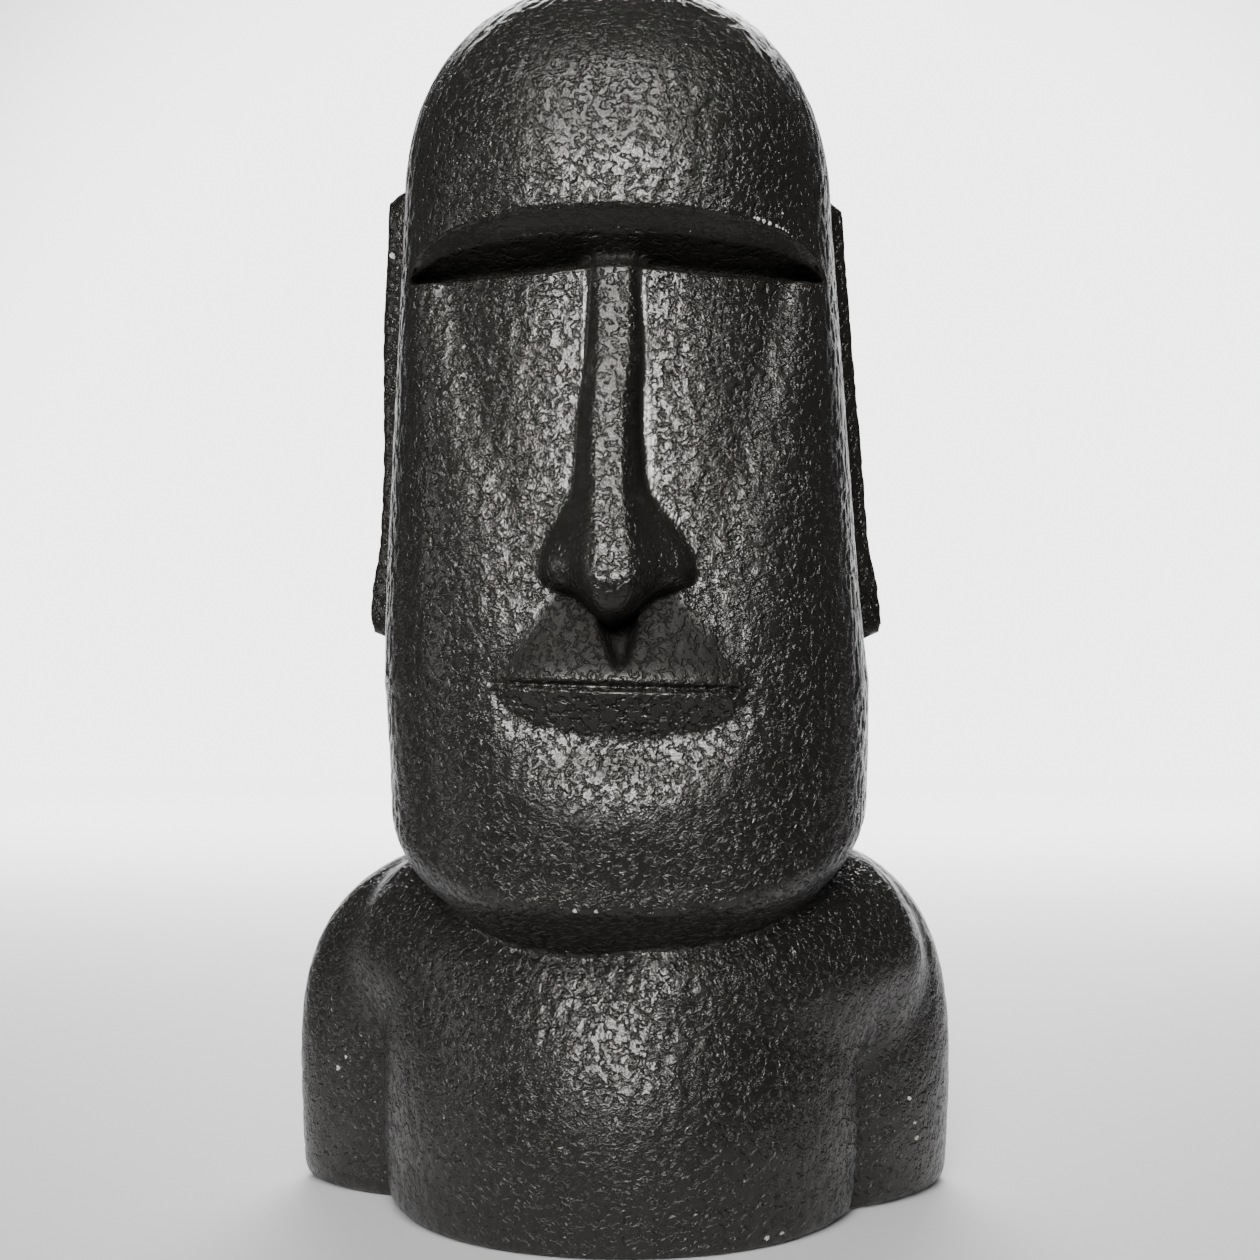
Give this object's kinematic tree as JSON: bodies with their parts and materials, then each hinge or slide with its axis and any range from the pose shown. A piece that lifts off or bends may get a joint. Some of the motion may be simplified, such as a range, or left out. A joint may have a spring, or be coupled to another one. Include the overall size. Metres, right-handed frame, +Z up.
{
  "type": "moai head statue, garden ornament",
  "caption": "Tall stylised moai head with long ears on a bust with arms, a one-piece cast garden ornament with a dark hammered finish.",
  "frame": {"origin": "under the middle of the figure's box, on the floor that the flat foot stands on", "axes": "+Z up, +X to the statue's left side, and the face looks along -Y"},
  "size_m": [0.389, 0.2978, 0.7],
  "materials": {
    "painted_cast": "hammered, semi-gloss black paint"
  },
  "bodies": {
    "root": {"moai_bust": "painted_cast"}
  },
  "joints": []
}
